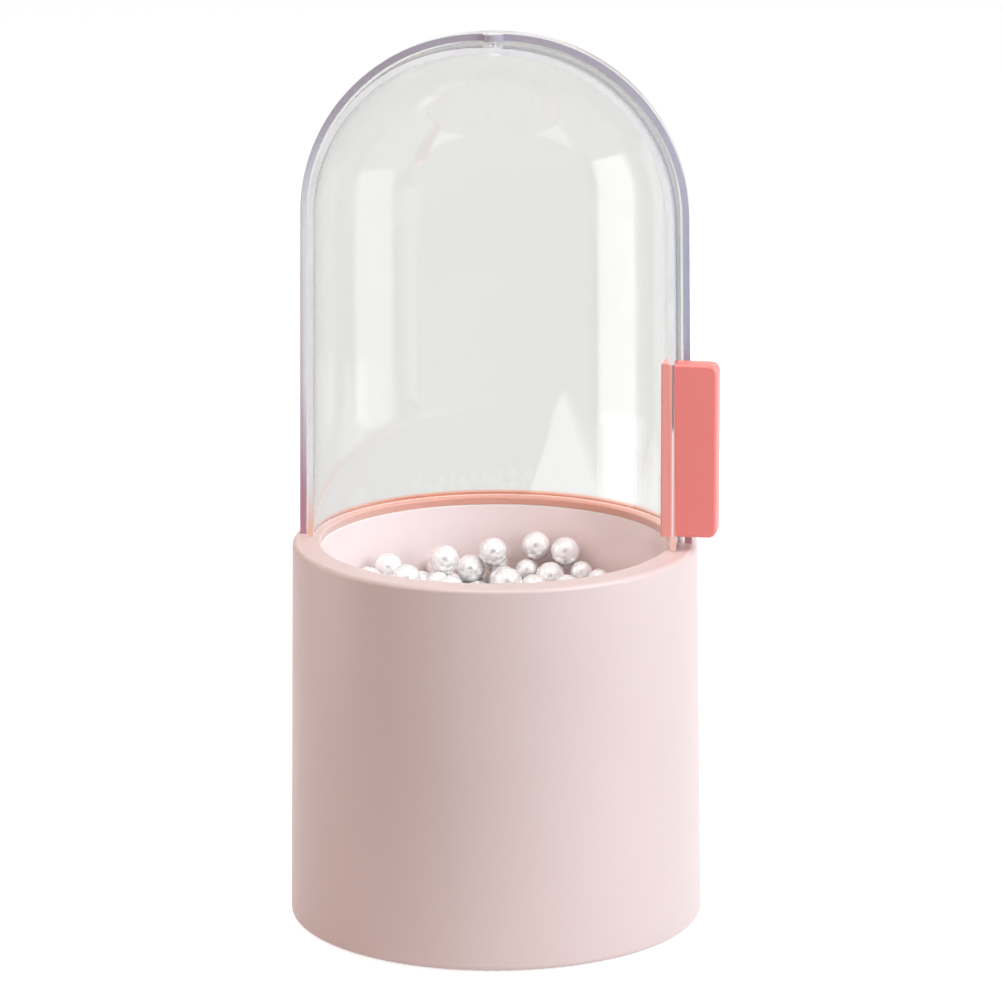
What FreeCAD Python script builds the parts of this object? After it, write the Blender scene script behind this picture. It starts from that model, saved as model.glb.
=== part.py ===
import FreeCAD, Part
import math
import os
import random
from FreeCAD import Vector

# A round tabletop box for brushes. A tall cup stands in a pink sleeve, and two clear half domes
# stand on the sleeve's rim. The rear dome is fixed. The front door turns on a pin at the top.
# Millimetres, Z up, the origin on the floor under the middle. The open side faces minus Y.

# Sleeve
rim_height = 102.7
sleeve_foot_height = 0.8
rim_width = 7.4
foot_flare = 1.5
sleeve_wall = 2.2
foot_edge_round = 1.5
rim_edge_round = 1.2
mouth_radius = 46.1
mouth_edge_round = 0.4
lip_flange_thickness = 2.0
rim_thickness = 3.6

# Cup, with a slightly narrower floor
cup_wall = 1.8
cup_draft_angle = 0.6
cup_floor_thickness = 1.8
cup_lip_round = 0.5
cup_lip_clearance = 0.15

# Plate that closes the sleeve from below, its hooks and its pad
plate_thickness = 2.4
plate_clearance = 0.15
plate_rib_radius = 31.0
plate_rib_width = 2.0
plate_rib_height = 2.8
hook_count = 4
hook_angle = 11.0
hook_thickness = 1.5
hook_height = 6.4
hook_barb = 0.5
hook_barb_height = 2.0
hook_play = 0.15
pad_inset = 6.65
pad_thickness = 1.6
pad_edge_clearance = 0.2

# Outline that both domes follow, on the outer face of the rear dome
rim_ledge = 1.45
dome_draft_angle = 0.69
dome_wall_height = 86.7
shoulder_centre_radius = 2.7
crown_radius_excess = 29.1

# Rear dome, bonded into its seat in the rim
rear_dome_wall = 1.75
rear_seat_depth = 2.0
rear_seat_clearance = 0.06
pivot_ear_radius = 2.8

# Front door, which turns inside the rear dome
dome_gap = 0.7
door_wall = 1.5
door_lap = 6.5
door_rest_turn = 3.3
door_foot_clearance = 0.3

# Pivot at the top
pin_radius = 1.0
pin_head_radius = 1.6
pin_head_height = 0.6
pin_press_clearance = 0.02
pin_running_clearance = 0.08
cap_radius = 2.3
cap_height = 1.2
cap_play = 0.15

# Handle in two halves, which clamp the door's edge
handle_height = 46.2
handle_lift = 3.95
handle_length = 10.65
handle_stop_gap = 0.3
handle_corner_round = 2.2
handle_edge_round = 0.9
backing_thickness = 2.6
backing_edge_round = 0.5
clamp_clearance = 0.05
peg_radius = 1.5
peg_depth = 4.5
peg_clearance = 0.05
peg_spacing = 30.0

# Pearls, loose beads of two sizes on a plain core that stands for the buried ones
large_pearl_radius = 4.0
small_pearl_radius = 3.2
large_pearl_share = 0.7
pearl_clearance = 0.08
pearl_heap_drop = 14.0
pearl_core_drop = 28.3
core_side_clearance = 0.3
pearl_seed = 35
pearl_tries = 90
allowed_misses = 40
settle_steps = 60
settle_start = 1.5
settle_shrink = 0.93

# Loose pearls on top of the heap, as places seen from above, in shares of the farthest reach
top_pearl_places = (
    (-0.13, 0.833), (0.142, 0.98), (0.299, 0.802), (-0.446, 0.643),
    (-0.71, 0.5), (-0.83, 0.4), (-0.47, 0.2))
top_pearl_seed = 5

long_cut = 400.0

# The sleeve and the domes are built outwards from the mouth
sleeve_rim_radius = mouth_radius + rim_width
sleeve_foot_radius = sleeve_rim_radius + foot_flare
dome_rim_radius = sleeve_rim_radius - rim_ledge


# Shared helpers

def revolve_points(points):
    """Closed outline of (radius, height) points, turned once round the Z axis."""
    corners = [Vector(radius, 0, height) for radius, height in points]
    wire = Part.makePolygon(corners + corners[:1])
    return Part.Face(wire).revolve(Vector(0, 0, 0), Vector(0, 0, 1), 360)


def ring_edges(shape, radius, height, slack=0.05):
    """Full circles round the Z axis at one radius and height."""
    found = []
    for edge in shape.Edges:
        curve = edge.Curve
        if isinstance(curve, Part.Circle) and abs(curve.Radius - radius) < slack:
            if abs(curve.Center.z - height) < slack:
                found.append(edge)
    return found


def cylinder(radius, bottom, top):
    return Part.makeCylinder(radius, top - bottom, Vector(0, 0, bottom))


def tube(outer_radius, inner_radius, bottom, top):
    return cylinder(outer_radius, bottom, top).cut(cylinder(inner_radius, bottom, top))


def block(x_low, x_high, y_low, y_high, z_low, z_high):
    return Part.makeBox(x_high - x_low, y_high - y_low, z_high - z_low, Vector(x_low, y_low, z_low))


def turned(shape, angle):
    copy = shape.copy()
    copy.rotate(Vector(0, 0, 0), Vector(0, 0, 1), angle)
    return copy


def at_rest(shape):
    """Turns a piece of the door from its fully open place to its rest place."""
    return turned(shape, -door_rest_turn)


# Dome outline

def dome_centres():
    """Radius at the top of the straight wall, shoulder and crown radii, and their centre heights."""
    lean = math.radians(dome_draft_angle)
    wall_top_radius = dome_rim_radius - dome_wall_height * math.tan(lean)
    shoulder_radius = (wall_top_radius - shoulder_centre_radius) / math.cos(lean)
    shoulder_centre = rim_height + dome_wall_height - shoulder_radius * math.sin(lean)
    crown_radius = shoulder_radius + crown_radius_excess
    centre_drop = math.sqrt(crown_radius_excess ** 2 - shoulder_centre_radius ** 2)
    return shoulder_radius, shoulder_centre, crown_radius, shoulder_centre - centre_drop


def dome_top(inset):
    shoulder_radius, shoulder_centre, crown_radius, crown_centre = dome_centres()
    return crown_centre + crown_radius - inset


def dome_wall_radius(inset, height):
    """Radius of the straight wall at a height, for a face that lies inset inside the outline."""
    lean = math.radians(dome_draft_angle)
    return dome_rim_radius - (height - rim_height) * math.tan(lean) - inset / math.cos(lean)


def arc_between(radius, centre_radius, centre_height, start_angle, end_angle):
    points = []
    for angle in (start_angle, (start_angle + end_angle) / 2, end_angle):
        across = centre_radius + radius * math.cos(angle)
        points.append(Vector(across, 0, centre_height + radius * math.sin(angle)))
    return Part.Arc(*points).toShape(), points[0], points[2]


def dome_body(inset, foot):
    """Solid bounded by the dome's outline, moved inwards by inset, from foot to the top."""
    shoulder_radius, shoulder_centre, crown_radius, crown_centre = dome_centres()
    lean = math.radians(dome_draft_angle)
    turn = math.atan2(shoulder_centre - crown_centre, shoulder_centre_radius)
    shoulder, wall_top, shoulder_top = arc_between(
        shoulder_radius - inset, shoulder_centre_radius, shoulder_centre, lean, turn)
    crown, crown_start, crown_top = arc_between(
        crown_radius - inset, 0, crown_centre, turn, math.pi / 2)
    wall_foot = Vector(dome_wall_radius(inset, foot), 0, foot)
    axis_foot = Vector(0, 0, foot)
    edges = [Part.makeLine(wall_foot, wall_top), shoulder, crown]
    edges.append(Part.makeLine(crown_top, axis_foot))
    edges.append(Part.makeLine(axis_foot, wall_foot))
    wire = Part.Wire(Part.__sortEdges__(edges))
    return Part.Face(wire).revolve(Vector(0, 0, 0), Vector(0, 0, 1), 360)


def dome_shell(outer_inset, wall, foot):
    outer = dome_body(outer_inset, foot)
    inner = dome_body(outer_inset + wall, foot - wall)
    return outer.cut(inner)


# Places worked out from the sizes above

rear_inner_inset = rear_dome_wall
door_outer_inset = rear_dome_wall + dome_gap
door_inner_inset = door_outer_inset + door_wall
lip_height = rim_height - lip_flange_thickness
rim_underside = rim_height - rim_thickness
door_foot = rim_height + door_foot_clearance
cup_lip_inner_radius = mouth_radius
cup_lip_outer_radius = mouth_radius + cup_wall
plate_bottom = sleeve_foot_height
plate_radius = sleeve_foot_radius - sleeve_wall - plate_clearance
pad_radius = plate_radius - pad_inset
plate_top = plate_bottom + plate_thickness
cup_bottom = plate_top + plate_rib_height
cup_floor = cup_bottom + cup_floor_thickness
handle_bottom = rim_height + handle_lift
handle_top = handle_bottom + handle_height
handle_front = -door_lap
handle_back = -handle_stop_gap
door_edge_reach = math.sqrt(dome_wall_radius(door_outer_inset, handle_bottom) ** 2 - door_lap ** 2)
handle_reach = door_edge_reach + handle_length
peg_centre_y = (handle_front + handle_back) / 2


def sleeve_outer_radius(height):
    rise = (height - sleeve_foot_height) / (rim_height - sleeve_foot_height)
    return sleeve_foot_radius + (sleeve_rim_radius - sleeve_foot_radius) * rise


def cup_inner_radius(height):
    return cup_lip_inner_radius - (lip_height - height) * math.tan(math.radians(cup_draft_angle))


# Base pieces

def make_outer_sleeve():
    inner_foot = sleeve_outer_radius(sleeve_foot_height) - sleeve_wall
    inner_top = sleeve_outer_radius(rim_underside) - sleeve_wall
    pocket = cup_lip_outer_radius + cup_lip_clearance
    body = revolve_points([
        (sleeve_foot_radius, sleeve_foot_height),
        (sleeve_rim_radius, rim_height),
        (mouth_radius, rim_height),
        (mouth_radius, lip_height),
        (pocket, lip_height),
        (pocket, rim_underside),
        (inner_top, rim_underside),
        (inner_foot, sleeve_foot_height)])
    body = body.makeFillet(rim_edge_round, ring_edges(body, sleeve_rim_radius, rim_height))
    body = body.makeFillet(mouth_edge_round, ring_edges(body, mouth_radius, rim_height))
    body = body.makeFillet(foot_edge_round, ring_edges(body, sleeve_foot_radius, sleeve_foot_height))
    body = body.cut(rear_dome_seat())
    return body.cut(hook_groove())


def rear_dome_seat():
    """Groove over the rear half of the rim, which holds the rear dome's foot."""
    bottom = rim_height - rear_seat_depth
    outer = dome_wall_radius(0, bottom) + rear_seat_clearance
    inner = dome_wall_radius(rear_inner_inset, rim_height) - rear_seat_clearance
    seat = tube(outer, inner, bottom, rim_height + rear_seat_depth)
    front = -rear_seat_clearance
    return seat.common(block(-long_cut, long_cut, front, long_cut, 0, long_cut))


def hook_groove():
    low = plate_top + hook_height - hook_barb_height - hook_play
    high = plate_top + hook_height + hook_play
    outer = sleeve_outer_radius(low) - sleeve_wall + hook_barb + hook_play
    return tube(outer, mouth_radius, low, high)


def make_inner_cup():
    floor_radius = cup_inner_radius(cup_floor)
    bottom_radius = cup_inner_radius(cup_bottom) + cup_wall
    body = revolve_points([
        (cup_lip_outer_radius, lip_height),
        (cup_lip_inner_radius, lip_height),
        (floor_radius, cup_floor),
        (0, cup_floor),
        (0, cup_bottom),
        (bottom_radius, cup_bottom)])
    return body.makeFillet(cup_lip_round, ring_edges(body, cup_lip_inner_radius, lip_height))


def make_bottom_plate():
    rib_outer = plate_rib_radius + plate_rib_width / 2
    rib_inner = plate_rib_radius - plate_rib_width / 2
    plate = cylinder(plate_radius, plate_bottom, plate_top)
    plate = plate.fuse(tube(rib_outer, rib_inner, plate_bottom, cup_bottom))
    for index in range(hook_count):
        plate = plate.fuse(turned(make_hook(), index * 360 / hook_count))
    recess = cylinder(pad_radius + pad_edge_clearance, plate_bottom - pad_thickness, pad_thickness)
    return plate.cut(recess).removeSplitter()


def make_hook():
    """One springy hook, with a barb that catches in the sleeve's groove."""
    top = plate_top + hook_height
    face = sleeve_outer_radius(top) - sleeve_wall - plate_clearance
    root = face - hook_thickness
    tip = face + hook_barb
    corners = [
        Vector(root, 0, plate_bottom),
        Vector(face, 0, plate_bottom),
        Vector(face, 0, top - hook_barb_height),
        Vector(tip, 0, top - hook_barb_height),
        Vector(tip, 0, top - hook_barb_height / 2),
        Vector(face, 0, top),
        Vector(root, 0, top)]
    section = Part.Face(Part.makePolygon(corners + corners[:1]))
    hook = section.revolve(Vector(0, 0, 0), Vector(0, 0, 1), hook_angle)
    return turned(hook, -hook_angle / 2)


def make_non_slip_pad():
    return cylinder(pad_radius, 0, pad_thickness)


# Domes

def make_rear_dome():
    foot = rim_height - rear_seat_depth
    shell = dome_shell(0, rear_dome_wall, foot)
    half = shell.common(block(-long_cut, long_cut, 0, long_cut, foot, long_cut))
    ear = shell.common(cylinder(pivot_ear_radius, foot, long_cut))
    dome = half.fuse(ear).removeSplitter()
    top = dome_top(0)
    dome = dome.cut(cylinder(pin_radius + pin_press_clearance, rim_height, long_cut))
    return dome.cut(cylinder(pin_head_radius + pin_press_clearance, top - pin_head_height, long_cut))


def make_front_door():
    shell = dome_shell(door_outer_inset, door_wall, door_foot)
    door = shell.common(block(-long_cut, long_cut, -door_lap, long_cut, door_foot, long_cut))
    door = door.cut(cylinder(pin_radius + pin_running_clearance, rim_height, long_cut))
    for height in peg_heights():
        door = door.cut(peg(height, peg_clearance, 0, handle_reach))
    return at_rest(door)


def make_pivot_pin():
    top = dome_top(0) - pin_press_clearance
    head_bottom = dome_top(0) - pin_head_height + pin_press_clearance
    bottom = cap_bottom() + pin_press_clearance
    head = cylinder(pin_head_radius, head_bottom, top)
    return head.fuse(cylinder(pin_radius, bottom, top)).removeSplitter()


def cap_bottom():
    return dome_top(door_inner_inset) - cap_play - cap_height


def make_pivot_cap():
    ring = cylinder(cap_radius, cap_bottom(), dome_top(door_inner_inset) - cap_play)
    return ring.cut(cylinder(pin_radius + pin_press_clearance, 0, long_cut))


# Handle

def peg_heights():
    middle = (handle_bottom + handle_top) / 2
    return (middle - peg_spacing / 2, middle + peg_spacing / 2)


def peg(height, clearance, start, end):
    """Round peg along X at one height, wider all round by clearance."""
    place = Vector(start, peg_centre_y, height)
    return Part.makeCylinder(peg_radius + clearance, end - start, place, Vector(1, 0, 0))


def rounded_slab(x_low, x_high, corner_round, edge_round):
    """Upright slab between the handle's front and back, with round outer corners and soft edges."""
    slab = block(x_low, x_high, handle_front, handle_back, handle_bottom, handle_top)
    corners = []
    for edge in slab.Edges:
        box = edge.BoundBox
        if box.XLength < 0.01 and box.ZLength < 0.01 and box.XMin > x_high - 0.01:
            corners.append(edge)
    slab = slab.makeFillet(corner_round, corners)
    outline = [edge for edge in slab.Edges if edge.BoundBox.YLength < 0.01]
    return slab.makeFillet(edge_round, outline)


def make_handle_grip():
    slab = rounded_slab(door_edge_reach - handle_corner_round, handle_reach,
                        handle_corner_round, handle_edge_round)
    slab = slab.cut(dome_body(door_outer_inset - clamp_clearance, 0))
    peg_end = door_edge_reach + peg_depth + peg_clearance
    for height in peg_heights():
        slab = slab.cut(peg(height, peg_clearance, 0, peg_end))
    return at_rest(slab)


def make_handle_backing():
    inner_reach = math.sqrt(dome_wall_radius(door_inner_inset, handle_bottom) ** 2 - door_lap ** 2)
    start = inner_reach - backing_thickness
    strip = block(start, handle_reach, handle_front, handle_back, handle_bottom, handle_top)
    inner_edges = []
    for edge in strip.Edges:
        if edge.BoundBox.XMax < start + 0.01:
            inner_edges.append(edge)
    strip = strip.makeFillet(backing_edge_round, inner_edges)
    strip = strip.common(dome_body(door_inner_inset + clamp_clearance, 0))
    middle = start + backing_thickness / 2
    for height in peg_heights():
        strip = strip.fuse(peg(height, 0, middle, door_edge_reach + peg_depth))
    return at_rest(strip.removeSplitter())


# Pearls

def rest_height(beads, x, y, radius, floor):
    """Lowest height at which a bead's centre can stand over a place."""
    height = floor + radius + pearl_clearance
    for other_x, other_y, other_height, other_radius in beads:
        reach = radius + other_radius + pearl_clearance
        apart = (x - other_x) ** 2 + (y - other_y) ** 2
        if apart < reach * reach:
            height = max(height, other_height + math.sqrt(reach * reach - apart))
    return height


def farthest_reach(radius, floor):
    """Distance from the axis to the centre of a bead that lies against the cup's wall."""
    return cup_inner_radius(floor) - radius - core_side_clearance


def inside_cup(x, y, radius, floor):
    return math.hypot(x, y) <= farthest_reach(radius, floor)


def settle(beads, x, y, radius, floor, dice):
    """Lets one bead roll downhill from a place until it lies in a hollow."""
    height = rest_height(beads, x, y, radius, floor)
    step = settle_start
    for attempt in range(settle_steps):
        new_x = x + dice.uniform(-step, step)
        new_y = y + dice.uniform(-step, step)
        if inside_cup(new_x, new_y, radius, floor):
            new_height = rest_height(beads, new_x, new_y, radius, floor)
            if new_height < height:
                x, y, height = new_x, new_y, new_height
        step *= settle_shrink
    return x, y, height, radius


def lowest_place(beads, radius, floor, dice):
    best = None
    for attempt in range(pearl_tries):
        x = dice.uniform(-mouth_radius, mouth_radius)
        y = dice.uniform(-mouth_radius, mouth_radius)
        if inside_cup(x, y, radius, floor):
            height = rest_height(beads, x, y, radius, floor)
            if best is None or height < best[2]:
                best = (x, y, height)
    return best


def wall_pearls(floor):
    """Ring of large beads against the cup's wall, with one on each of its four sides."""
    reach = farthest_reach(large_pearl_radius, floor)
    half_step = math.asin((large_pearl_radius + pearl_clearance / 2) / reach)
    count = 4 * int(math.pi / half_step / 4)
    height = floor + large_pearl_radius + pearl_clearance
    beads = []
    for index in range(count):
        angle = index * math.tau / count
        beads.append((reach * math.cos(angle), reach * math.sin(angle), height, large_pearl_radius))
    return beads


def heap_of_pearls():
    """Drops beads into the cup one by one until the heap reaches its height."""
    dice = random.Random(pearl_seed)
    floor = rim_height - pearl_core_drop
    heap_top = rim_height - pearl_heap_drop
    beads = wall_pearls(floor)
    misses = 0
    while misses < allowed_misses:
        is_large = dice.random() < large_pearl_share
        radius = large_pearl_radius if is_large else small_pearl_radius
        x, y, height = lowest_place(beads, radius, floor, dice)
        bead = settle(beads, x, y, radius, floor, dice)
        if bead[2] + radius > heap_top:
            misses += 1
        else:
            beads.append(bead)
    reach = farthest_reach(large_pearl_radius, floor)
    for x, y in top_pearl_places:
        top_dice = random.Random(top_pearl_seed)
        beads.append(settle(beads, x * reach, y * reach, large_pearl_radius, floor, top_dice))
    return beads


def make_pearl_beads():
    spheres = []
    for x, y, height, radius in heap_of_pearls():
        spheres.append(Part.makeSphere(radius, Vector(x, y, height)))
    print("pearls:", len(spheres))
    return Part.makeCompound(spheres)


def make_pearl_core():
    top = rim_height - pearl_core_drop
    return revolve_points([
        (0, cup_floor),
        (cup_inner_radius(cup_floor) - core_side_clearance, cup_floor),
        (cup_inner_radius(top) - core_side_clearance, top),
        (0, top)])


# Every piece and the file it goes to

pieces = {
    "outer_sleeve": make_outer_sleeve,
    "inner_cup": make_inner_cup,
    "bottom_plate": make_bottom_plate,
    "non_slip_pad": make_non_slip_pad,
    "rear_dome": make_rear_dome,
    "front_door": make_front_door,
    "handle_grip": make_handle_grip,
    "handle_backing": make_handle_backing,
    "pivot_pin": make_pivot_pin,
    "pivot_cap": make_pivot_cap,
    "pearl_beads": make_pearl_beads,
    "pearl_core": make_pearl_core,
}

os.makedirs("parts", exist_ok=True)
for name, make in pieces.items():
    shape = make()
    print(name, "solids", len(shape.Solids), "volume", round(shape.Volume, 1), "valid", shape.isValid())
    shape.exportStep("parts/" + name + ".step")
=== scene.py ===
import math

import bmesh
import bpy
import numpy
from bpy.props import FloatProperty, FloatVectorProperty, IntProperty, PointerProperty
from mathutils import Euler, Matrix, Vector


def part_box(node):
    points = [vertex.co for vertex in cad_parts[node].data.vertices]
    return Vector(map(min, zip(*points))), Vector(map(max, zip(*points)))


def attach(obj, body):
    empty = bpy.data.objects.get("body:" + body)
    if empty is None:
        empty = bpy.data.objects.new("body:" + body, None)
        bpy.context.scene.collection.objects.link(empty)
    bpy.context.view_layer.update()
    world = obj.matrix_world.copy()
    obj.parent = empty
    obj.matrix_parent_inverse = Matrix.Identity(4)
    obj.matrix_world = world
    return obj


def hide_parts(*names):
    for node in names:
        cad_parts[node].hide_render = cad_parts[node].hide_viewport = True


# Looks for a round brush box: a pink cup of pearls under two clear half domes, with a coral handle.
# Metres, Z up, the origin on the floor under the cup's axis. The open side faces minus Y.

bl_info = {
    "name": "Domed brush box",
    "version": (1, 0, 0),
    "blender": (4, 5, 0),
    "location": "3D View > Sidebar > Brush box",
    "description": "Clear domes, pearls, finishes and a pale studio for a round brush box",
    "category": "Object",
}

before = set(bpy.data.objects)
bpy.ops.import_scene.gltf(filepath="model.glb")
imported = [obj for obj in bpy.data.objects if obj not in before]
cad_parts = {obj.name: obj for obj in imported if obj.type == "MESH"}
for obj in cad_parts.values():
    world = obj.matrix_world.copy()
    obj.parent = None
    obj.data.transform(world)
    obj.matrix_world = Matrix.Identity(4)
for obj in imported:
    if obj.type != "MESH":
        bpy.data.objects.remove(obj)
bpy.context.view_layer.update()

MM = 0.001
RIM_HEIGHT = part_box("outer_sleeve")[1].z
CUP_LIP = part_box("inner_cup")[1].z
REAR_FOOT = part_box("rear_dome")[0].z
DOOR_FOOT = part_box("front_door")[0].z
GRIP_LOW, GRIP_HIGH = (corner.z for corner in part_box("handle_grip"))
PHOTO_WIDTH = 1002

ABS_IOR = 1.53
POLYSTYRENE_IOR = 1.55
# Light spreads a little way under the surface of pink plastic.
SOFT_PINK = {"Subsurface Radius": (1.0, 0.5, 0.4), "Subsurface Scale": 2 * MM}
# The painted salmon bounce light is strongest from this far behind the axis.
SALMON_BACK = 40 * MM
# Rows of faces up the domes' straight wall.
WALL_ROWS = 12
# Points nearer than this are one point.
SAME_POINT = 0.001 * MM
# A face whose middle is nearer than this to a surface lies on it.
ON_SURFACE = 0.05 * MM
# Half width of the white sweep, and the strength of its own white.
SWEEP_HALF = 12.0
SWEEP_GLOW = 0.84
# A card's share just below one, so that only its front shows.
FRONT_ONLY = 0.999


# Colour and node helpers

def linear(hex_text):
    """An sRGB hex colour as linear red, green and blue."""
    values = []
    for start in (0, 2, 4):
        channel = int(hex_text[start:start + 2], 16) / 255
        if channel <= 0.04045:
            values.append(channel / 12.92)
        else:
            values.append(((channel + 0.055) / 1.055) ** 2.4)
    return tuple(values)


def rgba(colour):
    return (*colour, 1.0)


def add(tree, kind, inputs=None, **settings):
    """Adds a node with its settings. Each input is a value, or the output socket that feeds it."""
    node = tree.nodes.new(kind)
    for name, value in settings.items():
        setattr(node, name, value)
    for key, value in (inputs or {}).items():
        if isinstance(value, bpy.types.NodeSocket):
            tree.links.new(value, node.inputs[key])
        else:
            node.inputs[key].default_value = value
    return node


def new_material(name):
    material = bpy.data.materials.new(name)
    material.use_nodes = True
    material.node_tree.nodes.clear()
    return material, material.node_tree


def finish_material(tree, surface):
    add(tree, "ShaderNodeOutputMaterial", {"Surface": surface})


def ramp(tree, factor, low, high, low_colour, high_colour):
    """A smooth change between two colours as factor goes from low to high."""
    node = add(tree, "ShaderNodeValToRGB", {"Fac": factor})
    first, last = node.color_ramp.elements
    first.position, last.position = low, high
    first.color, last.color = rgba(low_colour), rgba(high_colour)
    return node.outputs["Color"]


def level(tree, value, low, high):
    """Maps a noise value from 0 to 1 onto a range of plain numbers."""
    node = add(tree, "ShaderNodeMapRange", {"Value": value, "To Min": low, "To Max": high})
    return node.outputs["Result"]


def darkened(colour, share):
    return tuple(channel * share for channel in colour)


def dents(tree, height, strength, depth):
    """A surface direction that a height pattern bends."""
    return add(tree, "ShaderNodeBump", {
        "Height": height, "Strength": strength, "Distance": depth}).outputs["Normal"]


def math_node(tree, operation, first, second=0.0):
    return add(tree, "ShaderNodeMath", {0: first, 1: second}, operation=operation).outputs[0]


def product(tree, first, second):
    return math_node(tree, "MULTIPLY", first, second)


def step_up(tree, value, low, high):
    """Rises from nought at low to one at high."""
    node = add(tree, "ShaderNodeMapRange", {"Value": value, "From Min": low, "From Max": high})
    return node.outputs["Result"]


def band(tree, value, low, high, soft):
    """One between low and high and nought outside, with soft ends."""
    ended = math_node(tree, "SUBTRACT", 1.0, step_up(tree, value, high - soft, high))
    return product(tree, step_up(tree, value, low, low + soft), ended)


def blend(tree, factor, first, second):
    """Mixes two colours, each an output socket or a plain colour."""
    first, second = (value if isinstance(value, bpy.types.NodeSocket) else rgba(value)
                     for value in (first, second))
    return add(tree, "ShaderNodeMix", {0: factor, 6: first, 7: second}, data_type="RGBA").outputs[2]


def object_place(tree):
    return add(tree, "ShaderNodeTexCoord").outputs["Object"]


def object_parts(tree):
    """The X, Y and Z parts of a place on the piece."""
    return add(tree, "ShaderNodeSeparateXYZ", {"Vector": object_place(tree)}).outputs


def axis_distance(tree, parts):
    """Level distance from the box's axis."""
    square = math_node(tree, "ADD", product(tree, parts["X"], parts["X"]),
                       product(tree, parts["Y"], parts["Y"]))
    return math_node(tree, "SQRT", square)


def noise(tree, size, detail):
    """Noise whose blotches are about size metres across, fixed to the piece."""
    return add(tree, "ShaderNodeTexNoise", {
        "Vector": object_place(tree), "Scale": 1.0 / size, "Detail": detail}).outputs["Fac"]


# Sizes and colours that a user would change

class DomeSizes(bpy.types.PropertyGroup):
    rim_height: FloatProperty(
        name="Rim height", description="Height of the sleeve's rim over the floor",
        default=RIM_HEIGHT, unit="LENGTH")
    rim_radius: FloatProperty(
        name="Dome radius", description="Outer radius of the rear dome at the rim",
        default=52.05 * MM, unit="LENGTH")
    draft: FloatProperty(
        name="Draft", description="Lean of the dome's straight wall",
        default=math.radians(0.69), subtype="ANGLE")
    wall_height: FloatProperty(
        name="Straight wall", description="Height of the straight wall over the rim",
        default=86.7 * MM, unit="LENGTH")
    shoulder_centre: FloatProperty(
        name="Shoulder centre",
        description="Distance of the shoulder arc's centre from the axis",
        default=2.7 * MM, unit="LENGTH")
    crown_excess: FloatProperty(
        name="Crown excess",
        description="How much larger the crown's radius is than the shoulder's",
        default=29.1 * MM, unit="LENGTH")
    rear_wall: FloatProperty(
        name="Rear wall", description="Wall of the fixed rear dome",
        default=1.75 * MM, unit="LENGTH")
    gap: FloatProperty(
        name="Gap", description="Space between the rear dome and the door",
        default=0.7 * MM, unit="LENGTH")
    door_wall: FloatProperty(
        name="Door wall", description="Wall of the door",
        default=1.5 * MM, unit="LENGTH")
    door_lap: FloatProperty(
        name="Door lap", description="Distance of the door's cut edge in front of the axis",
        default=6.5 * MM, unit="LENGTH")
    rest_turn: FloatProperty(
        name="Rest turn",
        description="Turn of the door from fully open to the place in the picture",
        default=math.radians(3.3), subtype="ANGLE")
    ear_radius: FloatProperty(
        name="Ear radius", description="Radius of the rear dome's ear round the pivot",
        default=2.8 * MM, unit="LENGTH")
    pin_radius: FloatProperty(
        name="Pin radius", description="Radius of the pivot pin's hole",
        default=1.05 * MM, unit="LENGTH")
    head_radius: FloatProperty(
        name="Head radius", description="Radius of the rear dome's sunk seat for the pin's head",
        default=1.62 * MM, unit="LENGTH")
    head_depth: FloatProperty(
        name="Head depth", description="Depth of the sunk seat",
        default=0.6 * MM, unit="LENGTH")
    edge_round: FloatProperty(
        name="Edge round", description="Round on the polished edges of both domes",
        default=0.22 * MM, unit="LENGTH")
    segments: IntProperty(
        name="Segments", description="Faces round each full dome",
        default=192, min=24)
    arc_steps: IntProperty(
        name="Arc steps", description="Faces along each arc of the domes' outline",
        default=28, min=4)


class PearlLooks(bpy.types.PropertyGroup):
    rings: IntProperty(
        name="Rings", description="Faces from pole to pole on each pearl",
        default=18, min=6)
    segments: IntProperty(
        name="Segments", description="Faces round each pearl",
        default=32, min=8)
    colour: FloatVectorProperty(
        name="Pearl", description="Body colour of the pearl coating",
        default=linear("FDFBFA"), size=3, subtype="COLOR")
    shade: FloatVectorProperty(
        name="Pearl shade", description="Colour of the pearl coating where it turns away",
        default=linear("E6DFDD"), size=3, subtype="COLOR")


class Finishes(bpy.types.PropertyGroup):
    sleeve: FloatVectorProperty(
        name="Sleeve", description="Pale pink of the outer sleeve",
        default=linear("E6CEC8"), size=3, subtype="COLOR")
    cup: FloatVectorProperty(
        name="Cup", description="Pale pink of the glossy cup",
        default=linear("FBE8E5"), size=3, subtype="COLOR")
    coral: FloatVectorProperty(
        name="Handle", description="Coral of the handle",
        default=linear("FC8A82"), size=3, subtype="COLOR")
    # Painted light: a lighter copy of the handle's coral, for its inner half and the coral painted
    # into the door's edge.
    inner_coral_painted_lit: FloatVectorProperty(
        name="Inner half", description="Lighter coral of the handle's inner half",
        default=linear("FFA79D"), size=3, subtype="COLOR")
    # Painted light: salmon that stands in for shade and pink light bounced in the rim's recess.
    salmon_bounce: FloatVectorProperty(
        name="Inner rim", description="Salmon of the rim's inner ring behind the open side",
        default=linear("DFA08D"), size=3, subtype="COLOR")
    # Painted highlight: the cup's round lip is painted brighter.
    lip: FloatVectorProperty(
        name="Cup lip", description="Bright round lip of the cup",
        default=linear("FFF6F0"), size=3, subtype="COLOR")
    pad: FloatVectorProperty(
        name="Pad", description="Grey white of the foam pad",
        default=linear("DAD4CF"), size=3, subtype="COLOR")
    clear: FloatVectorProperty(
        name="Clear plastic", description="Faint tint of the clear domes",
        default=linear("F5F5F4"), size=3, subtype="COLOR")


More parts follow.
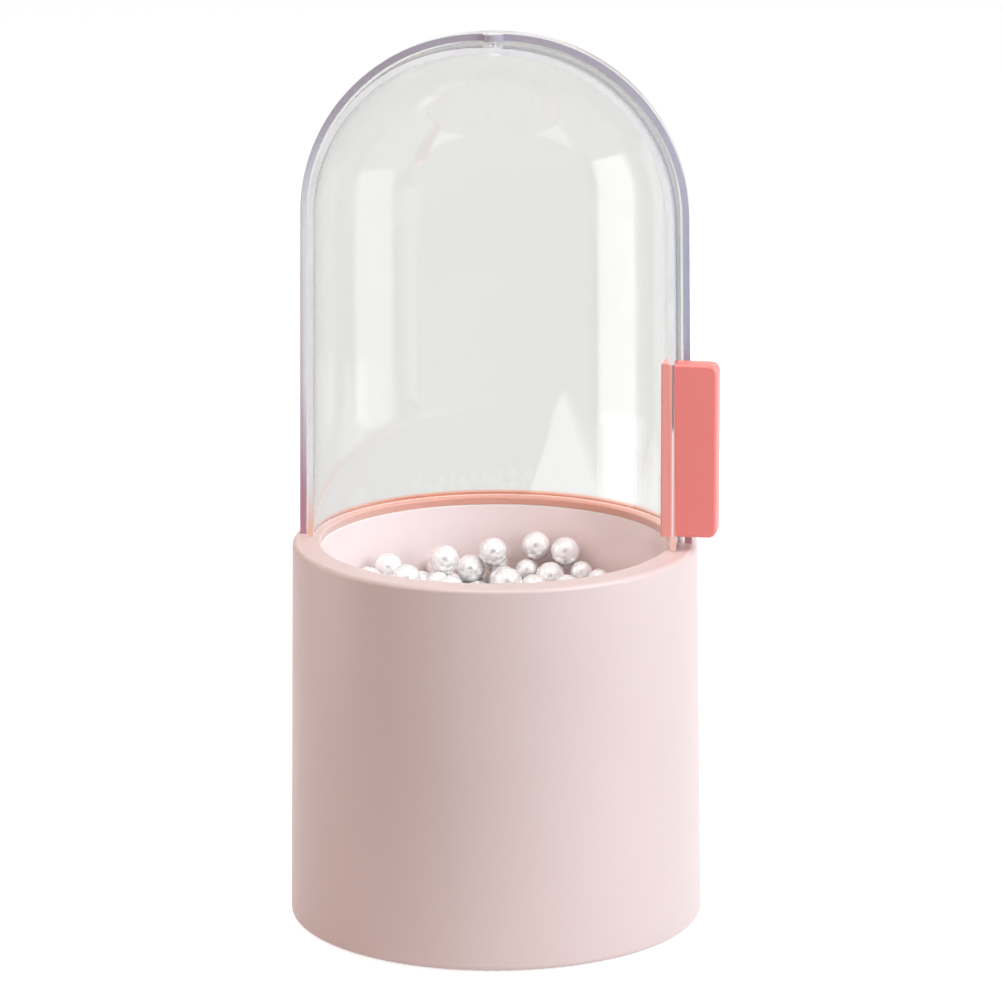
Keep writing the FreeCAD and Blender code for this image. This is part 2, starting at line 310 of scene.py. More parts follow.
class EdgeLooks(bpy.types.PropertyGroup):
    mauve: FloatVectorProperty(
        name="Mauve", description="Colour in the rear dome's cut edge near its foot",
        default=linear("BF8B9B"), size=3, subtype="COLOR")
    heather: FloatVectorProperty(
        name="Heather", description="Colour in the rear dome's cut edge along its wall",
        default=linear("B8A4B6"), size=3, subtype="COLOR")
    lavender: FloatVectorProperty(
        name="Lavender", description="Colour in the rear dome's cut edge at its shoulder",
        default=linear("C2BFCF"), size=3, subtype="COLOR")
    plum: FloatVectorProperty(
        name="Plum grey", description="Colour in the rear dome's cut edge at its crown",
        default=linear("B5ACB9"), size=3, subtype="COLOR")
    slate: FloatVectorProperty(
        name="Slate", description="Colour in the rear dome's cut edge on the handle's side",
        default=linear("A5A8BC"), size=3, subtype="COLOR")
    pale: FloatVectorProperty(
        name="Pale", description="Colour of the door's cut edge",
        default=linear("F6F7F8"), size=3, subtype="COLOR")
    # Painted light: salmon for the pink rim's light, at the foot of both domes and of the door's
    # edge.
    salmon: FloatVectorProperty(
        name="Salmon", description="Colour at the foot of the door's cut edge",
        default=linear("F7C9B8"), size=3, subtype="COLOR")
    # Painted highlight: the fine bright line beside the handle.
    glint: FloatVectorProperty(
        name="Glint", description="Fine bright line in the door's edge beside the handle",
        default=linear("F6EFF2"), size=3, subtype="COLOR")
    # Painted shade: the dark upper end of that line.
    seam: FloatVectorProperty(
        name="Seam", description="Dark upper end of the fine line beside the handle",
        default=linear("8C8691"), size=3, subtype="COLOR")


class StudioSettings(bpy.types.PropertyGroup):
    camera_distance: FloatProperty(
        name="Camera distance", description="Level distance of the camera from the cup's axis",
        default=1.3655, unit="LENGTH")
    camera_height: FloatProperty(
        name="Camera height", description="Height of the camera over the floor",
        default=0.4514, unit="LENGTH")
    camera_azimuth: FloatProperty(
        name="Camera azimuth", description="Turn of the camera from the front towards the handle",
        default=math.radians(6.6), subtype="ANGLE")
    camera_pitch: FloatProperty(
        name="Camera pitch", description="Downward tilt of the camera",
        default=math.radians(13.922), subtype="ANGLE")
    camera_roll: FloatProperty(
        name="Camera roll", description="Roll of the camera",
        default=math.radians(-0.18), subtype="ANGLE")
    axis_offset: FloatProperty(
        name="Axis offset", description="Pixels that the cup's axis lies left of the middle",
        default=6.35)
    focal_pixels: FloatProperty(
        name="Focal length", description="Focal length of the camera in pixels of the picture",
        default=5333.0)
    key: FloatProperty(
        name="Key light", description="Power of the large lamp at the right",
        default=8.2)
    top: FloatProperty(
        name="Top light", description="Power of the lamp over the box",
        default=3.4)
    side: FloatProperty(
        name="Side light", description="Power of the small warm lamp at the left",
        default=0.9)
    rear: FloatProperty(
        name="Rear light", description="Power of the lamp behind the box",
        default=1.7)
    fill: FloatProperty(
        name="Sky", description="Strength of the even light from all sides",
        default=0.21)
    warm_side: FloatVectorProperty(
        name="Warm side", description="Colour of the light from the left",
        default=linear("FFC8B4"), size=3, subtype="COLOR")
    cool_side: FloatVectorProperty(
        name="Cool side", description="Colour of the light from the right",
        default=linear("EAF5FF"), size=3, subtype="COLOR")
    backdrop: FloatVectorProperty(
        name="Backdrop", description="Colour of what lies behind",
        default=linear("FFFFFF"), size=3, subtype="COLOR")
    paper: FloatVectorProperty(
        name="Paper", description="Colour of the floor as the lamps light it",
        default=linear("DEDEDE"), size=3, subtype="COLOR")


# Materials, each named for the real plastic and how its surface was made

def satin_abs(name, colour, salmon_bounce=None, reach=0.0, low=0.0, front=0.0):
    """Moulded ABS with a fine satin texture: soft wide sheen, no sharp mirror image.

    A painted salmon bounce light stands in for the shade and pink light in the rim's recess. It
    colours what lies within reach of the axis, over low and behind front, most at the back, as in
    the photo.
    """
    material, tree = new_material(name)
    drift = noise(tree, 45 * MM, 2.0)
    tint = ramp(tree, drift, 0.35, 0.65, darkened(colour, 0.975), colour)
    # Painted salmon bounce light and shade on the rim's inner ring, most at the back.
    if salmon_bounce:
        parts = object_parts(tree)
        ring = step_up(tree, axis_distance(tree, parts), reach + 0.15 * MM, reach - 0.15 * MM)
        ring = product(tree, ring, step_up(tree, parts["Z"], low - 0.2 * MM, low))
        ring = product(tree, ring, step_up(tree, parts["Y"], front, SALMON_BACK))
        tint = blend(tree, ring, tint, salmon_bounce)
    rough = level(tree, noise(tree, 6 * MM, 4.0), 0.36, 0.44)
    grain = dents(tree, noise(tree, 0.5 * MM, 2.0), 0.06, 0.02 * MM)
    surface = add(tree, "ShaderNodeBsdfPrincipled", {
        "Base Color": tint, "Roughness": rough, "IOR": ABS_IOR, "Normal": grain,
        "Specular IOR Level": 0.7, "Subsurface Weight": 0.05, **SOFT_PINK})
    finish_material(tree, surface.outputs["BSDF"])
    return material


def polished_abs(name, colour, lip_highlight_colour, lip):
    """ABS from a polished mould: clear reflections with a faint unevenness, as on glossy toys.

    The thin lip is painted brighter: a painted highlight.
    """
    material, tree = new_material(name)
    drift = noise(tree, 30 * MM, 2.0)
    tint = ramp(tree, drift, 0.35, 0.65, darkened(colour, 0.97), colour)
    parts = object_parts(tree)
    tint = blend(tree, step_up(tree, parts["Z"], lip - 0.6 * MM, lip - 0.35 * MM), tint, lip_highlight_colour)
    rough = level(tree, noise(tree, 4 * MM, 4.0), 0.10, 0.18)
    waves = dents(tree, noise(tree, 14 * MM, 1.0), 0.10, 0.3 * MM)
    surface = add(tree, "ShaderNodeBsdfPrincipled", {
        "Base Color": tint, "Roughness": rough, "IOR": ABS_IOR, "Normal": waves,
        "Subsurface Weight": 0.08, **SOFT_PINK})
    finish_material(tree, surface.outputs["BSDF"])
    return material


def clear_polystyrene(name, colour, painted_foot_light, foot):
    """Clear polystyrene from a polished mould: bright edges, faint waves in what it mirrors.

    Its lowest millimetre has painted salmon light that stands in for the pink rim's light in the
    wall, so the tint turns salmon there, most at the back.
    """
    material, tree = new_material(name)
    parts = object_parts(tree)
    # Painted salmon light at the foot, most at the back.
    salmon = product(tree, step_up(tree, parts["Z"], foot + 1.1 * MM, foot + 0.8 * MM),
                     step_up(tree, parts["Y"], -8 * MM, SALMON_BACK))
    tint = ramp(tree, noise(tree, 60 * MM, 2.0), 0.3, 0.7, darkened(colour, 0.985), colour)
    tint = blend(tree, salmon, tint, painted_foot_light)
    rough = level(tree, noise(tree, 9 * MM, 4.0), 0.004, 0.03)
    waves = dents(tree, noise(tree, 18 * MM, 1.0), 0.12, 0.35 * MM)
    glass = add(tree, "ShaderNodeBsdfPrincipled", {
        "Base Color": tint, "Roughness": rough, "IOR": POLYSTYRENE_IOR,
        "Transmission Weight": 1.0, "Normal": waves})
    open_way = add(tree, "ShaderNodeBsdfTransparent", {"Color": (0.985, 0.985, 0.985, 1.0)})
    shadow_ray = add(tree, "ShaderNodeLightPath").outputs["Is Shadow Ray"]
    surface = add(tree, "ShaderNodeMixShader", {
        0: shadow_ray, 1: glass.outputs["BSDF"], 2: open_way.outputs["BSDF"]})
    finish_material(tree, surface.outputs["Shader"])
    return material


def stepped_colours(tree, factor, stops):
    """A smooth run of colours, given as (place, colour)."""
    node = add(tree, "ShaderNodeValToRGB", {"Fac": factor})
    elements = node.color_ramp.elements
    for place, colour in stops[2:]:
        elements.new(place)
    for element, (place, colour) in zip(elements, stops):
        element.position, element.color = place, rgba(colour)
    return node.outputs["Color"]


def edge_surface(tree, tint, glow):
    """The wall's cut face: a painted glow stands in for the light that the wall guides here, so it
    is hazy, not black.
    """
    rough = level(tree, noise(tree, 5 * MM, 4.0), 0.10, 0.22)
    return add(tree, "ShaderNodeBsdfPrincipled", {
        "Base Color": tint, "Roughness": rough, "IOR": POLYSTYRENE_IOR,
        "Transmission Weight": 0.12, "Emission Color": tint, "Emission Strength": glow})


def tinted_edge(name, edges, inner, outer, foot, wall_top):
    """Polystyrene at a cut edge: mauve, lavender and slate bands, as the photo shows, with a
    painted glow.

    Each band is deepest at the outer face and pales towards the inner one.
    """
    material, tree = new_material(name)
    parts = object_parts(tree)
    wander = level(tree, noise(tree, 25 * MM, 2.0), -8 * MM, 8 * MM)
    moved = math_node(tree, "ADD", parts["Z"], wander)
    factor = step_up(tree, moved, foot, foot + 150 * MM)
    tint = stepped_colours(tree, factor, (
        (0.06, edges.mauve), (0.22, edges.heather), (0.46, edges.heather),
        (0.64, edges.lavender), (0.84, edges.plum)))
    right = step_up(tree, parts["X"], 0.0, 20 * MM)
    shoulder = band(tree, parts["Z"], foot + 25 * MM, wall_top + 20 * MM, 30 * MM)
    tint = blend(tree, product(tree, right, shoulder), tint, edges.slate)
    across = step_up(tree, axis_distance(tree, parts), outer, inner)
    upright = band(tree, parts["Z"], wall_top - 75 * MM, wall_top + 25 * MM, 30 * MM)
    left = step_up(tree, parts["X"], 0.0, -20 * MM)
    fade = product(tree, across, product(tree, upright, level(tree, left, 0.1, 0.75)))
    tint = blend(tree, fade, tint, edges.pale)
    finish_material(tree, edge_surface(tree, tint, 0.07).outputs["BSDF"])
    return material


def pale_edge(name, edges, coral, inner, foot, grip_low, grip_high):
    """Plain polystyrene at a cut edge: hazy and near white, with painted salmon light at its foot.

    Where the handle's halves hold it, their coral is painted in as light seen through the edge, but
    for one fine line: a painted highlight that ends in painted shade.
    """
    material, tree = new_material(name)
    parts = object_parts(tree)
    plain = ramp(tree, noise(tree, 12 * MM, 3.0), 0.35, 0.65,
                 darkened(edges.pale, 0.9), edges.pale)
    # Painted salmon light at the edge's foot.
    above = step_up(tree, parts["Z"], foot + 3 * MM, foot + 13 * MM)
    plain = blend(tree, above, edges.salmon, plain)
    # A painted highlight along one fine line that ends in painted shade, and the handle's coral
    # painted in round it as light seen through the edge.
    line_height = grip_low + 0.6 * (grip_high - grip_low)
    line = blend(tree, step_up(tree, parts["Z"], line_height, line_height + 2 * MM),
                 edges.glint, edges.seam)
    in_line = band(
        tree, axis_distance(tree, parts), inner + 0.25 * MM, inner + 0.85 * MM, 0.12 * MM)
    painted_coral_mask = band(tree, parts["Z"], grip_low, grip_high, 0.3 * MM)
    painted_coral_mask = product(tree, painted_coral_mask, step_up(tree, parts["X"], 0.0, 1 * MM))
    tint = blend(tree, painted_coral_mask, plain, blend(tree, in_line, coral, line))
    finish_material(tree, edge_surface(tree, tint, 0.18).outputs["BSDF"])
    return material


def hazy_polystyrene(name, colour):
    """Clear polystyrene with a drawn, hazy surface, as on a small moulded pin, and a painted glow.
    """
    material, tree = new_material(name)
    rough = level(tree, noise(tree, 1.5 * MM, 3.0), 0.12, 0.3)
    surface = add(tree, "ShaderNodeBsdfPrincipled", {
        "Base Color": rgba(colour), "Roughness": rough, "IOR": POLYSTYRENE_IOR,
        "Transmission Weight": 0.45, "Emission Color": rgba(colour), "Emission Strength": 0.12})
    finish_material(tree, surface.outputs["BSDF"])
    return material


def pearl_coating(name, body, shade):
    """Plastic beads with a pearl dip: bright body, soft grey turn at the rim, a clear top coat."""
    material, tree = new_material(name)
    facing = add(tree, "ShaderNodeLayerWeight", {"Blend": 0.35}).outputs["Facing"]
    tint = ramp(tree, facing, 0.25, 0.85, body, shade)
    rough = level(tree, noise(tree, 1.6 * MM, 3.0), 0.12, 0.26)
    grain = dents(tree, noise(tree, 1.1 * MM, 3.0), 0.15, 0.04 * MM)
    surface = add(tree, "ShaderNodeBsdfPrincipled", {
        "Base Color": tint, "Metallic": 0.4, "Roughness": rough, "IOR": 1.6, "Normal": grain,
        "Coat Weight": 1.0, "Coat Roughness": 0.03, "Coat IOR": 1.7})
    finish_material(tree, surface.outputs["BSDF"])
    return material


def foam_pad(name, colour):
    """Closed-cell foam rubber: matte, with fine pores."""
    material, tree = new_material(name)
    pores = add(tree, "ShaderNodeTexVoronoi", {
        "Vector": object_place(tree), "Scale": 1.0 / (0.9 * MM)})
    depth = pores.outputs["Distance"]
    tint = ramp(tree, depth, 0.1, 0.6, darkened(colour, 0.8), colour)
    surface = add(tree, "ShaderNodeBsdfPrincipled", {
        "Base Color": tint, "Roughness": 0.85, "Normal": dents(tree, depth, 0.4, 0.15 * MM)})
    finish_material(tree, surface.outputs["BSDF"])
    return material


def dress(node, material):
    """Gives a CAD node its finish."""
    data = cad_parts[node].data
    data.materials.clear()
    data.materials.append(material)


# Geometry Nodes

def new_geometry_tree(name, sizes):
    """Tree with a geometry input, one float or integer input per size, and a geometry output."""
    tree = bpy.data.node_groups.new(name, "GeometryNodeTree")
    tree.interface.new_socket("Geometry", in_out="INPUT", socket_type="NodeSocketGeometry")
    tree.interface.new_socket("Geometry", in_out="OUTPUT", socket_type="NodeSocketGeometry")
    for label, kind in sizes:
        tree.interface.new_socket(label, in_out="INPUT", socket_type=kind)
    start = add(tree, "NodeGroupInput")
    return tree, start


def end_geometry_tree(tree, geometry, material):
    """Every tree ends in real geometry with its material set."""
    real = add(tree, "GeometryNodeRealizeInstances", {"Geometry": geometry})
    painted = add(tree, "GeometryNodeSetMaterial", {
        "Geometry": real.outputs["Geometry"], "Material": material})
    add(tree, "NodeGroupOutput", {0: painted.outputs["Geometry"]})


def lathe_tree(name, material):
    """Turns a closed outline, given as points in the XZ plane, once round the Z axis.

    The result is kept only behind the cut plane, or within a round ear about the axis.
    """
    tree, start = new_geometry_tree(name, [
        ("Segments", "NodeSocketInt"), ("Cut", "NodeSocketFloat"),
        ("Ear Radius", "NodeSocketFloat"), ("Reach", "NodeSocketFloat")])
    outline = start.outputs["Geometry"]
    count = add(tree, "GeometryNodeAttributeDomainSize", {
        "Geometry": outline}).outputs["Point Count"]
    rows = math_node(tree, "ADD", count, 1.0)
    columns = math_node(tree, "ADD", start.outputs["Segments"], 1.0)
    sheet = add(tree, "GeometryNodeMeshGrid", {"Vertices X": columns, "Vertices Y": rows})
    index = add(tree, "GeometryNodeInputIndex").outputs["Index"]
    middle = math_node(tree, "ADD", index, 0.5)
    column = math_node(tree, "FLOOR", math_node(tree, "DIVIDE", middle, rows))
    row = math_node(tree, "SUBTRACT", index, product(tree, column, rows))
    point_index = math_node(tree, "FLOORED_MODULO", row, count)
    point = add(tree, "GeometryNodeSampleIndex", {
        "Geometry": outline, "Value": add(tree, "GeometryNodeInputPosition").outputs["Position"],
        "Index": point_index}, data_type="FLOAT_VECTOR", domain="POINT")
    parts = add(tree, "ShaderNodeSeparateXYZ", {"Vector": point.outputs["Value"]})
    step = math_node(tree, "DIVIDE", math.tau, start.outputs["Segments"])
    angle = product(tree, math_node(tree, "ADD", column, 0.5), step)
    radius = parts.outputs["X"]
    place = add(tree, "ShaderNodeCombineXYZ", {
        "X": product(tree, radius, math_node(tree, "COSINE", angle)),
        "Y": product(tree, radius, math_node(tree, "SINE", angle)), "Z": parts.outputs["Z"]})
    round_shell = add(tree, "GeometryNodeSetPosition", {
        "Geometry": sheet.outputs["Mesh"], "Position": place.outputs["Vector"]})
    closed = add(tree, "GeometryNodeMergeByDistance", {
        "Geometry": round_shell.outputs["Geometry"], "Distance": SAME_POINT})
    reach = start.outputs["Reach"]
    half_reach = product(tree, reach, 0.5)
    block_size = add(tree, "ShaderNodeCombineXYZ", {"X": reach, "Y": reach, "Z": reach})
    block = add(tree, "GeometryNodeMeshCube", {"Size": block_size.outputs["Vector"]})
    block_y = math_node(tree, "ADD", start.outputs["Cut"], half_reach)
    block_place = add(tree, "ShaderNodeCombineXYZ", {"X": 0.0, "Y": block_y, "Z": 0.0})
    keep_block = add(tree, "GeometryNodeTransform", {
        "Geometry": block.outputs["Mesh"], "Translation": block_place.outputs["Vector"]})
    ear = add(tree, "GeometryNodeMeshCylinder", {
        "Vertices": 48, "Radius": start.outputs["Ear Radius"], "Depth": reach})
    kept = add(tree, "GeometryNodeMeshBoolean", operation="UNION", solver="EXACT")
    tree.links.new(keep_block.outputs["Geometry"], kept.inputs["Mesh 2"])
    tree.links.new(ear.outputs["Mesh"], kept.inputs["Mesh 2"])
    half = add(tree, "GeometryNodeMeshBoolean", operation="INTERSECT", solver="EXACT")
    tree.links.new(closed.outputs["Geometry"], half.inputs["Mesh 2"])
    tree.links.new(kept.outputs["Mesh"], half.inputs["Mesh 2"])
    end_geometry_tree(tree, half.outputs["Mesh"], material)
    return tree


def bead_tree(name, material):
    """Puts one round bead at every point, sized by the point's own radius attribute."""
    tree, start = new_geometry_tree(name, [
        ("Segments", "NodeSocketInt"), ("Rings", "NodeSocketInt")])
    bead = add(tree, "GeometryNodeMeshUVSphere", {
        "Segments": start.outputs["Segments"], "Rings": start.outputs["Rings"], "Radius": 1.0})
    smooth = add(tree, "GeometryNodeSetShadeSmooth", {"Geometry": bead.outputs["Mesh"]})
    radius = add(tree, "GeometryNodeInputNamedAttribute", {
        "Name": "bead_radius"}, data_type="FLOAT")
    turn = add(tree, "FunctionNodeRandomValue", {
        0: (0.0, 0.0, 0.0), 1: (math.tau, math.tau, math.tau), "Seed": 4}, data_type="FLOAT_VECTOR")
    turn_euler = add(tree, "FunctionNodeEulerToRotation", {0: turn.outputs[0]})
    copies = add(tree, "GeometryNodeInstanceOnPoints", {
        "Points": start.outputs["Geometry"], "Instance": smooth.outputs["Geometry"],
        "Rotation": turn_euler.outputs[0], "Scale": radius.outputs["Attribute"]})
    end_geometry_tree(tree, copies.outputs["Instances"], material)
    return tree


def run_tree(source, tree, values):
    """Runs a tree on an object and returns its result as a plain mesh."""
    modifier = source.modifiers.new(tree.name, "NODES")
    modifier.node_group = tree
    for item in tree.interface.items_tree:
        if item.in_out == "INPUT" and item.name in values:
            modifier[item.identifier] = values[item.name]
    bpy.context.view_layer.update()
    evaluated = source.evaluated_get(bpy.context.evaluated_depsgraph_get())
    data = bpy.data.meshes.new_from_object(evaluated)
    source.modifiers.remove(modifier)
    return data


def scene_object(name, data):
    piece = bpy.data.objects.new(name, data)
    bpy.context.scene.collection.objects.link(piece)
    return piece


def points_object(name, points):
    data = bpy.data.meshes.new(name)
    data.from_pydata([tuple(point) for point in points], [], [])
    return scene_object(name, data)


# Domes

def arc_points(radius, centre_radius, centre_height, first, last, steps):
    """Points along an arc, from its first angle to its last."""
    found = []
    for index in range(steps + 1):
        angle = first + (last - first) * index / steps
        found.append((centre_radius + radius * math.cos(angle),
                      centre_height + radius * math.sin(angle)))
    return found


def door_inner_inset(sizes):
    """How far the door's inner face lies inside the rear dome's outer face."""
    return sizes.rear_wall + sizes.gap + sizes.door_wall


def dome_line(sizes, inset, foot, hole):
    """Outline of one face of a dome from its foot up to the pin's hole, as (radius, height)."""
    wall_top = sizes.rim_radius - sizes.wall_height * math.tan(sizes.draft)
    shoulder = (wall_top - sizes.shoulder_centre) / math.cos(sizes.draft)
    shoulder_height = sizes.rim_height + sizes.wall_height - shoulder * math.sin(sizes.draft)
    crown = shoulder + sizes.crown_excess
    drop = math.sqrt(sizes.crown_excess ** 2 - sizes.shoulder_centre ** 2)
    turn = math.atan2(drop, sizes.shoulder_centre)
    foot_radius = sizes.rim_radius - (foot - sizes.rim_height) * math.tan(sizes.draft)
    foot_radius -= inset / math.cos(sizes.draft)
    last = math.acos(hole / (crown - inset))
    line = [(foot_radius, foot)]
    line += arc_points(shoulder - inset, sizes.shoulder_centre, shoulder_height,
                       sizes.draft, turn, sizes.arc_steps)
    line += arc_points(crown - inset, 0.0, shoulder_height - drop, turn, last, sizes.arc_steps)[1:]
    return line


def wall_rows(line):
    """Adds evenly spaced points along the first, straight stretch of a line."""
    (x1, z1), (x2, z2) = line[0], line[1]
    steps = [(x1 + (x2 - x1) * row / WALL_ROWS, z1 + (z2 - z1) * row / WALL_ROWS)
             for row in range(WALL_ROWS)]
    return steps + line[1:]


def shell_outline(sizes, inset, wall, foot, head):
    """Closed outline of one shell, with the pin's hole and, where head is set, its sunk seat."""
    hole = sizes.pin_radius
    outer = wall_rows(dome_line(sizes, inset, foot, head or hole))
    inner = wall_rows(dome_line(sizes, inset + wall, foot, hole))
    seat = []
    if head:
        seat_height = outer[-1][1] - sizes.head_depth
        seat = [(head, seat_height), (hole, seat_height)]
    return [Vector((radius, 0.0, height)) for radius, height in outer + seat + inner[::-1]]


def mark_edge(data, cut, ear, edge):
    """Gives the cut face of a half shell, and the round of its ear, their own finish."""
    data.materials.append(edge)
    for face in data.polygons:
        middle = face.center
        flat = face.normal.y < -0.999 and abs(middle.y - cut) < ON_SURFACE
        round_ear = middle.y < cut and abs(math.hypot(middle.x, middle.y) - ear) < ON_SURFACE
        if flat or round_ear:
            face.material_index = 1


def finish_shell(name, data, sizes, turn):
    """Turns the shell to its rest place, rounds its polished edges and smooths its faces."""
    data.transform(Matrix.Rotation(turn, 4, "Z"))
    piece = scene_object(name, data)
    bevel = piece.modifiers.new("Polished edges", "BEVEL")
    bevel.width = sizes.edge_round
    bevel.segments = 3
    bevel.limit_method = "ANGLE"
    bevel.angle_limit = math.radians(40)
    bevel.harden_normals = True
    data.shade_smooth()
    bpy.context.view_layer.update()
    evaluated = piece.evaluated_get(bpy.context.evaluated_depsgraph_get())
    rounded = bpy.data.meshes.new_from_object(evaluated)
    piece.modifiers.remove(bevel)
    piece.data = rounded
    return piece


class BRUSHBOX_OT_domes(bpy.types.Operator):
    """Make both clear half domes as turned shells with polished edges"""
    bl_idname = "brushbox.domes"
    bl_label = "Domes"

    def execute(self, context):
        sizes = context.scene.dome_sizes
        finishes = context.scene.finishes
        edges = context.scene.edge_looks
        clear = clear_polystyrene(
            "clear_polystyrene_polished", finishes.clear, edges.salmon, sizes.rim_height)
        door_inset = sizes.rear_wall + sizes.gap
        edge_tinted = tinted_edge(
            "polystyrene_edge_banded", edges, sizes.rim_radius - sizes.rear_wall,
            sizes.rim_radius, sizes.rim_height, sizes.rim_height + sizes.wall_height)
        edge_pale = pale_edge(
            "polystyrene_edge_pale", edges, finishes.inner_coral_painted_lit,
            sizes.rim_radius - door_inner_inset(sizes), sizes.rim_height, GRIP_LOW, GRIP_HIGH)
        tree = lathe_tree("half_dome_lathe", clear)
        reach = 4 * sizes.rim_radius + 4 * sizes.rim_height
        jobs = (
            ("rear_dome_shell", "rear_dome", "base", 0.0, sizes.rear_wall, REAR_FOOT, 0.0,
             sizes.ear_radius, 0.0, sizes.head_radius, edge_tinted),
            ("front_door_shell", "front_door", "door", door_inset, sizes.door_wall, DOOR_FOOT,
             -sizes.door_lap, sizes.pin_radius, -sizes.rest_turn, 0.0, edge_pale),
        )
        for name, node, body, inset, wall, foot, cut, ear, turn, head, edge in jobs:
            outline = points_object(name + "_outline", shell_outline(
                sizes, inset, wall, foot, head))
            data = run_tree(outline, tree, {
                "Segments": sizes.segments, "Cut": cut, "Ear Radius": ear, "Reach": reach})
            bpy.data.objects.remove(outline)
            if len(data.polygons) == 0:
                raise RuntimeError("the lathe made no faces for " + name)
            mark_edge(data, cut, ear, edge)
            piece = finish_shell(name, data, sizes, turn)
            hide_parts(node)
            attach(piece, body)
        return {"FINISHED"}


# Base, handle and pivot

class BRUSHBOX_OT_base(bpy.types.Operator):
    """Give the sleeve, cup, bottom plate and pad their finishes"""
    bl_idname = "brushbox.base"
    bl_label = "Sleeve and cup"

    def execute(self, context):
        finishes = context.scene.finishes
        sizes = context.scene.dome_sizes
        inner = sizes.rim_radius - door_inner_inset(sizes)
        # The sleeve's rim carries painted salmon bounce light.
        dress("outer_sleeve", satin_abs(
            "satin_abs_pale_pink_painted_rim_bounce", finishes.sleeve, finishes.salmon_bounce,
            inner, CUP_LIP, -sizes.door_lap - 2 * MM))
        dress("bottom_plate", satin_abs("satin_abs_pale_pink", finishes.sleeve))
        dress("inner_cup", polished_abs(
            "polished_abs_pale_pink", finishes.cup, finishes.lip, CUP_LIP))
        dress("non_slip_pad", foam_pad("foam_rubber_pad", finishes.pad))
        return {"FINISHED"}


class BRUSHBOX_OT_handle(bpy.types.Operator):
    """Give both halves of the handle their coral finish"""
    bl_idname = "brushbox.handle"
    bl_label = "Handle"

    def execute(self, context):
        finishes = context.scene.finishes
        dress("handle_grip", satin_abs("satin_abs_coral", finishes.coral))
        # The inner half is the handle's coral painted lighter.
        dress("handle_backing", satin_abs("satin_abs_coral_painted_lit", finishes.inner_coral_painted_lit))
        return {"FINISHED"}


class BRUSHBOX_OT_pivot(bpy.types.Operator):
    """Give the pivot pin and its cap a hazy clear finish"""
    bl_idname = "brushbox.pivot"
    bl_label = "Pivot"

    def execute(self, context):
        hazy = hazy_polystyrene("hazy_polystyrene_pivot", context.scene.edge_looks.pale)
        dress("pivot_pin", hazy)
        dress("pivot_cap", hazy)
        return {"FINISHED"}


# Pearls

def loose_parts(data):
    """Centre and radius of every loose ball in a mesh of loose triangles."""
    work = bmesh.new()
    work.from_mesh(data)
    bmesh.ops.remove_doubles(work, verts=work.verts, dist=SAME_POINT)
    seen = set()
    balls = []
    for first in work.verts:
        if first in seen:
            continue
        group = [first]
        seen.add(first)
        for vert in group:
            for edge in vert.link_edges:
                other = edge.other_vert(vert)
                if other not in seen:
                    seen.add(other)
                    group.append(other)
        places = numpy.array([vert.co for vert in group])
        low, high = places.min(0), places.max(0)
        balls.append((Vector((low + high) / 2), float(high[2] - low[2]) / 2))
    work.free()
    return balls


class BRUSHBOX_OT_pearls(bpy.types.Operator):
    """Put a smooth pearl at the place of every bead, over the core of buried ones"""
    bl_idname = "brushbox.pearls"
    bl_label = "Pearls"

    def execute(self, context):
        looks = context.scene.pearl_looks
        coating = pearl_coating("pearl_dipped_acrylic", looks.colour, looks.shade)
        balls = loose_parts(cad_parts["pearl_beads"].data)
        if not balls:
            raise RuntimeError("the frame holds no beads")
        points = points_object("pearl_places", [centre for centre, radius in balls])
        radii = points.data.attributes.new("bead_radius", "FLOAT", "POINT")
        radii.data.foreach_set("value", [radius for centre, radius in balls])
        data = run_tree(points, bead_tree("bead_scatter", coating), {
            "Segments": looks.segments, "Rings": looks.rings})
        bpy.data.objects.remove(points)
        pearls = scene_object("pearls", data)
        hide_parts("pearl_beads")
        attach(pearls, "base")
        dress("pearl_core", coating)
        return {"FINISHED"}


# Studio

def floor_material(paper_colour, colour):
    """White paper sweep: it holds the object's soft shadow and is plain white elsewhere."""
    material, tree = new_material("white_paper_sweep")
    paper = add(tree, "ShaderNodeBsdfDiffuse", {"Color": rgba(paper_colour)})
    path = add(tree, "ShaderNodeLightPath").outputs
    seen = math_node(tree, "MAXIMUM", path["Is Camera Ray"], path["Is Glossy Ray"])
    glow = add(tree, "ShaderNodeEmission", {
        "Color": rgba(colour), "Strength": product(tree, seen, SWEEP_GLOW)})
    lit = add(tree, "ShaderNodeAddShader", {0: paper.outputs[0], 1: glow.outputs[0]})
    plain = add(tree, "ShaderNodeEmission", {"Color": rgba(colour), "Strength": 1.0})
    both = add(tree, "ShaderNodeMixShader", {
        0: path["Is Transmission Ray"], 1: lit.outputs[0], 2: plain.outputs[0]})
    finish_material(tree, both.outputs[0])
    return material


def aim(item, place, target):
    item.location = place
    item.rotation_euler = (Vector(target) - Vector(place)).to_track_quat("-Z", "Y").to_euler()


def soft_lamp(name, place, target, width, height, power, colour, mirrored=True):
    data = bpy.data.lights.new(name, "AREA")
    data.shape = "RECTANGLE"
    data.size, data.size_y = width, height
    data.energy = power
    data.color = colour
    lamp = scene_object(name, data)
    lamp.visible_camera = False
    lamp.visible_transmission = False
    lamp.visible_glossy = mirrored
    aim(lamp, place, target)


